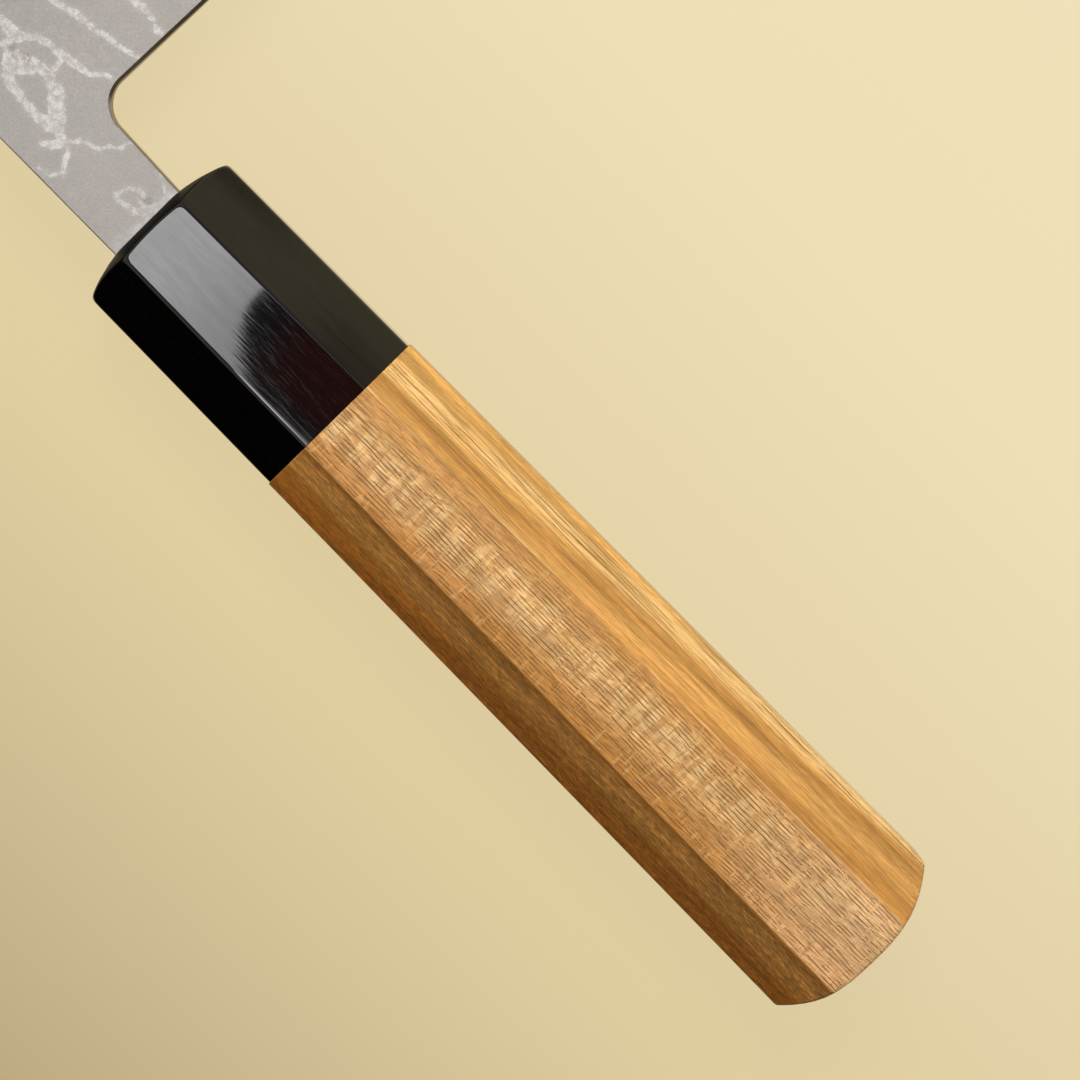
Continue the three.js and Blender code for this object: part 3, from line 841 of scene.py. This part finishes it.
def wood():
    """Oiled cherry, quarter sawn: rays on the wide facets, silk along the others."""
    s = Shader("oiled cherry wood")
    place = s.place()
    x, y, z = s.split(place)
    tint = WOOD_TINTS
    wave = s.minus(s.noise(place, (0.018, 0.1, 0.1)), 0.5)
    lifted = s.fused(wave, 1.4, y)
    grain = s.join(x, lifted, z)
    ridge = s.fused(x, -HEIGHT_TAPER / 2, MOUTH_HEIGHT / 2 + WOOD_SKIN["step"] - FACET_DROP)
    across = s.math("DIVIDE", s.times(y, RIDGE_STOP), ridge)
    reach = s.math("ABSOLUTE", across)
    wide = s.spread(reach, RIDGE_STOP - 0.3, RIDGE_STOP, 1, 0)
    narrow = s.minus(1, wide)
    heart = s.math("ABSOLUTE", s.minus(across, s.spread(x, -128, -45, -2.9, 0.4, smooth=False)))
    middle = s.times(s.spread(heart, 1.3, 3.9, 1, 0), wide)
    off_ridge = s.math("ABSOLUTE", s.minus(reach, RIDGE_STOP))
    dark_side = s.spread(across, RIDGE_STOP, RIDGE_STOP + 0.4)
    light_side = s.times(narrow, s.math("LESS_THAN", y, 0))

    # Heartwood colour across the block in streaks, which lean on the narrow facet towards the edge,
    # with a band of painted shade just past the ridge towards the spine
    streaks = s.minus(s.noise(grain, (0.025, 0.9, 0.9), detail=5, roughness=0.62), 0.5)
    wander = s.times(streaks, s.spread(off_ridge, 0, 1.2))
    color = s.ramp(s.fused(wander, 5, across), WOOD_STOPS)
    slid = s.plus(y, s.spread(x, -125, -55, 4.55, 0, smooth=False))
    color = s.mix(light_side, color, s.ramp(s.fused(wander, 3, slid), EDGE_SIDE_STOPS))

    # Cross bands of curl on the wide facets, and rays that lie as plain flakes between them
    bands = s.noise(grain, (0.55, 0.10, 0.10), detail=3, roughness=0.65)
    rays = s.noise(grain, (1.7, 0.3, 0.3), detail=0)
    flake = s.times(s.spread(rays, 0.66, 0.69), wide)
    flake_rim = s.times(s.spread(rays, 0.63, 0.65), s.minus(wide, flake))
    pink = s.times(s.spread(bands, 0.50, 0.60), wide)
    color = s.mix(s.times(pink, 0.35), color, tint["pink band"])
    pale = s.times(s.spread(bands, 0.55, 0.44, 0.2, 1), middle)
    pale = s.times(pale, s.spread(streaks, -0.12, 0.10, 0.8, 0.5))
    color = s.mix(pale, color, tint["pale band"])
    color = s.mix(s.times(flake, 0.7), color, tint["flake"])
    blush = s.times(s.spread(x, -128, -98, 0.6, 0), wide)
    color = s.mix(blush, color, tint["blush"])

    # Silky streaks with crisp fibres, short slanted flecks on the dark side
    silk = s.noise(grain, (0.06, 1.7, 1.7), detail=5, roughness=0.72)
    broad = s.noise(grain, (0.03, 0.5, 0.5))
    leaning = s.join(x, s.fused(x, -0.05, lifted), z)
    fibre = s.noise(leaning, (0.45, 4.5, 4.5), roughness=0.6)
    slanted = s.join(x, s.fused(x, 0.18, lifted), z)
    flecks = s.noise(slanted, (1, 4.4, 4.4), roughness=0.6)
    mottle = s.noise(grain, (0.5, 0.9, 0.9))
    depth = s.fused(narrow, 0.16, s.fused(light_side, 0.07, 0.04))
    shade = s.fused(s.spread(silk, 0.3, 0.7, -1, 1), depth, 1)
    shade = s.times(shade, s.spread(broad, 0.35, 0.65, 0.87, 1.09))
    crisp = s.fused(light_side, -0.04, 0.16)
    shade = s.times(shade, s.fused(s.spread(fibre, 0.35, 0.65, -1, 1), crisp, 1))
    fleck = s.plus(s.spread(flecks, 0.3, 0.7, -0.33, 0.33), s.spread(mottle, 0.3, 0.7, -0.12, 0.12))
    fleck = s.plus(fleck, s.spread(x, -80, -36, 0, 0.28))
    shade = s.times(shade, s.fused(fleck, dark_side, 1))
    color = s.mix(1, color, s.join(shade, shade, shade), "MULTIPLY")

    # A cream bundle of fibres on the narrow facet towards the edge
    bundle = s.math("ABSOLUTE", s.minus(lifted, s.fused(x, 0.051, -7.3)))
    bundle = s.math("DIVIDE", bundle, s.spread(x, -130, -40, 1.4, 1.7, smooth=False))
    bundle = s.times(s.spread(bundle, 0.2, 1, 1, 0), narrow)
    cream = s.times(bundle, s.spread(silk, 0.38, 0.54))
    color = s.mix(s.times(cream, 0.75), color, tint["cream"])

    # Pores as broken lines along the grain, and rays as thin rungs across it
    sway = s.times(s.noise(grain, (0.10, 0.6, 0.6), detail=3), 10)
    broken = s.spread(s.noise(grain, (0.36, 2.2, 2.2), detail=1), 0.42, 0.54)
    dense = s.spread(heart, 2.8, 4.6, 1, s.spread(across, -1, 3, 0.35, 0.95))
    wide_pores = s.times(s.lines(lifted, 0.47, sway), s.times(dense, wide))
    wide_pores = s.times(wide_pores, s.minus(1, flake))
    drawn_out = s.spread(s.noise(grain, (0.12, 2.2, 2.2), detail=1), 0.46, 0.56)
    narrow_pores = s.times(s.lines(lifted, 0.40, sway), s.times(drawn_out, light_side))
    narrow_pores = s.times(narrow_pores, s.fused(bundle, 0.75, 0.30))
    pores = s.fused(wide_pores, broken, narrow_pores)
    ticks = s.noise(leaning, (0.5, 3.8, 3.8), roughness=0.6)
    ticks = s.spread(ticks, 0.54, 0.63)
    pores = s.math("MAXIMUM", pores, s.times(ticks, s.fused(wide, 0.10, 0.32)))
    patches = s.spread(s.noise(grain, (0.45, 0.4, 0.4), detail=1), 0.48, 0.62)
    rungs = s.noise(grain, (6, 0.42, 0.42), detail=1)
    crossed = s.times(s.times(wide, patches), s.spread(across, 0.5, 3, 0.35, 1))
    ladder = s.times(s.spread(rungs, 0.62, 0.67), crossed)
    glint = s.times(s.spread(rungs, 0.40, 0.33), crossed)
    color = s.mix(s.times(pores, 0.75), color, tint["pore"])
    color = s.mix(s.times(flake_rim, 0.25), color, tint["rung"])
    color = s.mix(s.times(ladder, 0.35), color, tint["rung"])
    color = s.mix(s.times(glint, 0.22), color, tint["glint"])

    # Painted highlight along the ridges towards the edge, and the relief of pores and rays
    painted_ridge_highlight = s.times(s.spread(off_ridge, 0.04, 0.14, 1, 0), s.math("LESS_THAN", y, 0))
    painted_ridge_highlight = s.times(painted_ridge_highlight, s.spread(silk, 0.4, 0.6))
    color = s.mix(s.times(painted_ridge_highlight, 0.65), color, tint["painted ridge highlight"])
    relief = s.plus(pores, s.times(ladder, 0.6))
    return s.set(Base_Color=color, Roughness=0.38, Normal=s.bump(relief, -0.07 * MM))


STEEL_TINTS = {
    "dark ground": (0.257, 0.239, 0.222, 1),
    "light ground": (0.331, 0.310, 0.291, 1),
    "cloud": (0.250, 0.240, 0.220, 1),
    "dim vein": (0.35, 0.328, 0.308, 1),
    "bright vein": (0.49, 0.467, 0.447, 1),
    "pit": (0.17, 0.155, 0.14, 1),
    "neck border": (0.49, 0.44, 0.39, 1),
    "choil border": (0.62, 0.56, 0.50, 1),
    "slope gloss": (0.45, 0.42, 0.38, 1),
    "wall gloss": (0.56, 0.53, 0.50, 1),
    "dark core": (0.42, 0.380, 0.335, 1),
    "light core": (0.52, 0.475, 0.425, 1),
}


def damascus():
    """Satin grey steel with bright ragged veins: the photographed ones, and more of their kind."""
    s = Shader("damascus cladding")
    place = s.place()
    x, _, z = s.split(place)
    tint = STEEL_TINTS

    # Photographed veins, frayed at their borders, and pits
    ragged = s.minus(s.noise(place, scale=0.9, detail=5, roughness=0.66), 0.5)
    specks = s.minus(s.noise(place, scale=5, roughness=0.6), 0.5)
    frayed = s.fused(specks, 0.12, ragged)
    depth = s.mark("vein")
    ragged_depth = s.plus(depth, frayed)
    drawn = s.times(s.spread(ragged_depth, -0.08, 0.18), s.spread(x, 3, 15, 0.7, 1))
    haze = s.spread(ragged_depth, -0.6, 0.1, 0, 0.2)
    pit = s.spread(s.mark("pitted"), -0.1, 0.4)
    pit = s.times(pit, s.spread(specks, -0.05, 0.05))

    # Further veins, where the photograph shows none
    turned = s.stretch(place, (0.05, 0.075, 0.05), (0, 0, 0.5))
    field = s.noise(turned, detail=2.5, roughness=0.45, distortion=0.7)
    folds = s.math("ABSOLUTE", s.minus(s.math("FRACT", s.times(field, 7)), 0.5))
    further = s.spread(s.fused(frayed, -0.07, folds), 0.02, 0.09, 1, 0)
    unseen = s.math("MAXIMUM", s.spread(x, VEINS_END, VEINS_END + 3), s.math("LESS_THAN", z, 0))
    vein = s.math("MAXIMUM", s.math("MAXIMUM", drawn, haze), s.times(further, unseen))

    # Satin ground, clouded, and lighter at the ferrule's mouth
    grain = s.noise(place, scale=4, detail=4, roughness=0.6)
    cloud = s.noise(place, scale=0.6, detail=3)
    at_mouth = s.times(s.spread(x, 2.6, 0), s.spread(cloud, 0.35, 0.6, 0.2, 0.7))
    vein = s.math("MAXIMUM", vein, at_mouth)
    ground = s.mix(s.spread(grain, 0.25, 0.75), tint["dark ground"], tint["light ground"])
    ground = s.mix(s.spread(cloud, 0.35, 0.7, 0, 0.3), ground, tint["cloud"])
    glow = s.fused(s.noise(place, scale=0.9, detail=3, roughness=0.6), 1.2, specks)
    bright = s.mix(s.spread(glow, 0.4, 0.85), tint["dim vein"], tint["bright vein"])
    color = s.mix(s.times(vein, s.spread(ragged, -0.25, 0.1, 0.6, 1)), ground, bright)
    color = s.mix(s.times(pit, 0.75), color, tint["pit"])

    # Ground border of neck and choil
    border = s.mark("border")
    edge = s.spread(x, CHOIL_START, NECK_LENGTH, CHOIL_EASE * NECK_SHARE, CHOIL_EASE, smooth=False)
    polish = s.math("LESS_THAN", border, edge)
    upright = s.math("ABSOLUTE", s.split(s.node("ShaderNodeTexCoord").outputs["Normal"])[2])
    slant = s.times(polish, s.spread(upright, 0.3, 0.6))
    ground_off = s.mix(s.spread(x, 7, NECK_LENGTH), tint["neck border"], tint["choil border"])
    color = s.mix(polish, color, ground_off)
    return s.set(
        Base_Color=color,
        Metallic=1,
        Roughness=s.spread(polish, 0, 1, 0.38, 0.2),
        Specular_Tint=s.mix(polish, WHITE, s.mix(slant, tint["wall gloss"], tint["slope gloss"])),
        Normal=s.bump(grain, 0.002 * MM),
    )


def mottled(name, scale, detail, low, high, **settings):
    """A plain material that wavers between two colours."""
    s = Shader(name)
    waver = s.noise(s.place(), scale, detail)
    return s.set(Base_Color=s.mix(waver, low, high), **settings)


def core_steel():
    low, high = STEEL_TINTS["dark core"], STEEL_TINTS["light core"]
    gloss = {"Metallic": 1, "Roughness": 0.3, "Specular_Tint": STEEL_TINTS["wall gloss"]}
    return mottled("core steel", (0.4, 8, 8), 3, low, high, **gloss)


def plain_wood():
    low, high = (0.48, 0.32, 0.15, 1), (0.64, 0.46, 0.24, 1)
    return mottled("dowel wood", (0.05, 1.2, 1.2), 4, low, high, Roughness=0.7)


def dark_resin():
    low, high = (0.008, 0.006, 0.005, 1), (0.02, 0.015, 0.012, 1)
    return mottled("dark resin", 0.8, 3, low, high, Roughness=0.3)


def amber_epoxy():
    low, high = (0.40, 0.29, 0.12, 1), (0.52, 0.41, 0.20, 1)
    return mottled("amber epoxy", 0.5, 3, low, high, Roughness=0.35)


# Stage, light and camera

# The floor's colour across y: cream on the edge side and darker towards the spine side, where the
# darkening is painted shade
FLOOR_STOPS = (
    (-110, (0.863, 0.745, 0.485)),
    (-60, (0.847, 0.730, 0.462)),
    (0, (0.761, 0.631, 0.381)),
    (25, (0.752, 0.622, 0.358)),
    (50, (0.676, 0.548, 0.317)),
    (80, (0.570, 0.455, 0.258)),
    (110, (0.456, 0.362, 0.195)),
)
FLOOR_MIDDLE = Vector((-67, -4.6, 0))
FLOOR_FAR = (0.78, 0.66, 0.41, 1)
# the floor's colour in reflections towards the spine side: a painted dark reflection
FLOOR_END = (0.008, 0.007, 0.006, 1)
FLOOR_SIZE = 4000
FLOOR_FADE = (102, 260)
FLOOR_HIDDEN = (15, 45)
FLOOR_OWN_LIGHT = 0.95
CONTACT_X = -2.2
CONTACT_GAP = 0.03


def make_floor():
    """A floor that the knife lies on with its tip and the lower front of its ferrule."""
    contact_z = -(MOUTH_WIDTH - WIDTH_TAPER * CONTACT_X) / 2 - CONTACT_GAP
    slope = -contact_z / (TIP_X - CONTACT_X)
    plan = [(x * FLOOR_SIZE, y * FLOOR_SIZE) for x, y in ((-1, -1), (1, -1), (1, 1), (-1, 1))]
    corners = [(x, y, contact_z + slope * (x - CONTACT_X)) for x, y in plan]
    floor = add_mesh("floor", corners, [(0, 1, 2, 3)])
    s = Shader("pale floor")
    place = s.place()
    y = s.split(place)[1]
    # Painted shade: the floor darkens towards the spine side near the knife and fades into the even
    # far colour
    inputs = {0: place, 1: FLOOR_MIDDLE}
    reach = s.node("ShaderNodeVectorMath", inputs, operation="DISTANCE").outputs["Value"]
    far = s.spread(reach, *FLOOR_FADE)
    color = s.mix(far, s.ramp(y, FLOOR_STOPS), FLOOR_FAR)
    path = s.node("ShaderNodeLightPath").outputs
    # To glossy rays the floor towards the spine side turns almost black: a painted dark reflection
    hidden = s.times(path["Is Glossy Ray"], s.spread(y, *FLOOR_HIDDEN))
    color = s.mix(hidden, color, FLOOR_END)
    seen = s.math("ADD", path["Is Camera Ray"], path["Is Glossy Ray"], clamp=True)
    seen = s.math("ADD", seen, path["Is Transmission Ray"], clamp=True)
    share = s.times(seen, s.spread(far, 0, 1, FLOOR_OWN_LIGHT, 1))
    diffuse = s.node("ShaderNodeBsdfDiffuse", {"Color": color}).outputs[0]
    emission = s.node("ShaderNodeEmission", {"Color": color}).outputs[0]
    mixed = s.node("ShaderNodeMixShader", {0: share, 1: diffuse, 2: emission}).outputs[0]
    s.feed(s.tree.nodes["Material Output"].inputs["Surface"], mixed)
    s.tree.nodes.remove(s.surface)
    floor.data.materials.append(s.material)


ROOM_DARK = (0.012, 0.011, 0.010, 1)
ROOM_DIM = (0.17, 0.145, 0.09, 1)
ROOM_CREAM = (0.60, 0.52, 0.33, 1)
ROOM_PALE = (0.56, 0.53, 0.47, 1)


def make_world():
    """A room, cream on the edge side, dim behind the handle, with pale walls that gloss shows."""
    world = bpy.data.worlds.new("studio")
    bpy.context.scene.world = world
    s = Shader("studio", world)
    x, y, z = s.split(s.node("ShaderNodeTexCoord").outputs["Generated"])
    path = s.node("ShaderNodeLightPath").outputs
    room = s.mix(s.spread(x, -0.35, -0.75), ROOM_DARK, ROOM_DIM)
    room = s.mix(s.spread(y, -0.45, -0.8), room, ROOM_CREAM)
    room = s.mix(s.spread(z, 0.42, 0.62), room, ROOM_DARK)
    walls = s.times(s.spread(z, 0.16, 0.30), s.spread(z, 0.86, 0.95, 1, 0))
    walls = s.times(walls, s.spread(x, -0.7, -0.4))
    walls = s.times(walls, s.spread(y, -0.85, -0.55, 0.2, 1))
    room = s.mix(s.times(walls, path["Is Glossy Ray"]), room, ROOM_PALE)
    room = s.mix(path["Is Camera Ray"], room, FLOOR_FAR)
    s.feed(s.tree.nodes["Background"].inputs["Color"], room)


KEY_PLACE = Vector((560, -690, 1050))
KEY_TARGET = Vector((-40, 0, 0))
KEY_SIZE = 700
KEY_RADIANCE = 16.5


def make_key():
    """A soft square light, which polished surfaces don't mirror."""
    data = bpy.data.lights.new("key", "AREA")
    data.size = KEY_SIZE * MM
    data.energy = KEY_RADIANCE * math.pi * data.size**2
    key = add_object("key", data)
    key.location = to_row(KEY_PLACE)
    key.rotation_mode = "QUATERNION"
    key.rotation_quaternion = (KEY_TARGET - KEY_PLACE).to_track_quat("-Z", "Y")
    key.visible_camera = key.visible_glossy = False


PANEL_HEIGHT = 1200


def make_panel(name, left, low, right, high, between, strengths):
    """A soft panel overhead for horn and steel to mirror, with a strength that changes along x."""
    plan = ((left, low), (left, high), (right, high), (right, low))
    panel = add_mesh(name, [(x, y, PANEL_HEIGHT) for x, y in plan], [(0, 1, 2, 3)])
    s = Shader(name)
    strength = s.spread(s.split(s.place())[0], *between, *strengths, smooth=False)
    s.set(Base_Color=BLACK, Emission_Color=WHITE, Emission_Strength=strength)
    panel.data.materials.append(s.material)
    panel.visible_camera = False
    return panel


def make_panels():
    """A panel overhead and a strip beside it, which only ridges of the horn show."""
    make_panel("overhead_panel", -100, -250, 250, 170, between=(20, 100), strengths=(3.3, 6.8))
    strip = make_panel("ridge_strip", -60, 170, 36, 480, between=(-40, 10), strengths=(0, 10))
    strip.visible_diffuse = False


CARD_LOW, CARD_HIGH = (-110, -60), (6.6, 40.2)
CARD_RADIUS = 16.8
CARD_BLUNTNESS = 4 / 3
CARD_STEPS = 10
CARD_BORDER = (0.07, 0.085, 0.11, 1)
CARD_MIDDLE = (0.22, 0.055, 0.05, 1)


def make_card():
    """A dark card with blunt corners beside the lens, which only polished surfaces mirror."""
    left, low = (value + CARD_RADIUS for value in CARD_LOW)
    right, high = (value - CARD_RADIUS for value in CARD_HIGH)
    points = []
    for cx, cy, start in ((right, high, 0), (left, high, 90), (left, low, 180), (right, low, 270)):
        for angle in np.radians(np.linspace(start, start + 90, CARD_STEPS)):
            turn = np.array((math.cos(angle), math.sin(angle)))
            turn = CARD_RADIUS * np.sign(turn) * np.abs(turn) ** CARD_BLUNTNESS
            points.append((cx + turn[0], cy + turn[1], EYE.z))
    card = add_mesh("dark_card", points, [tuple(range(len(points)))])
    s = Shader("dark card")
    x, y, _ = s.split(s.place())
    inside = s.times(s.minus(CARD_HIGH[1], y), 2.5)
    inside = s.math("MINIMUM", s.minus(CARD_HIGH[0], x), inside)
    color = s.mix(s.spread(inside, 4, 20), CARD_BORDER, CARD_MIDDLE)
    s.set(Base_Color=BLACK, Emission_Color=color, Emission_Strength=1)
    card.data.materials.append(s.material)
    for ray in ("camera", "diffuse", "shadow", "transmission", "volume_scatter"):
        setattr(card, "visible_" + ray, False)


def make_camera():
    data = bpy.data.cameras.new("photo_camera")
    data.sensor_width = SENSOR
    data.lens = SENSOR * FOCAL_PIXELS / PHOTO_SIZE
    data.clip_start = CLIP_START * MM
    camera = add_object("photo_camera", data)
    right, up, back = camera_axes()
    turn = Matrix((right, up, back)).transposed().to_4x4()
    camera.matrix_world = Matrix.Translation(to_row(EYE)) @ turn
    bpy.context.scene.camera = camera


def dress_hidden_nodes():
    """Finishes for the CAD pieces that stay inside the handle."""
    for node, material in (("dowel", plain_wood()), ("tang_bedding", amber_epoxy())):
        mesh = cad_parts[node].data
        mesh.materials.clear()
        mesh.materials.append(material)


make_camera()
make_world()
make_panels()
make_key()
make_card()
make_floor()
DAMASCUS = damascus()
make_ferrule(horn())
make_grip(wood())
make_seal(dark_resin())
make_core(core_steel())
make_cladding("right_cladding", 1, DAMASCUS, "cladding_right")
make_cladding("left_cladding", -1, DAMASCUS, "cladding_left")
dress_hidden_nodes()

bpy.context.scene.view_settings.view_transform = "Standard"
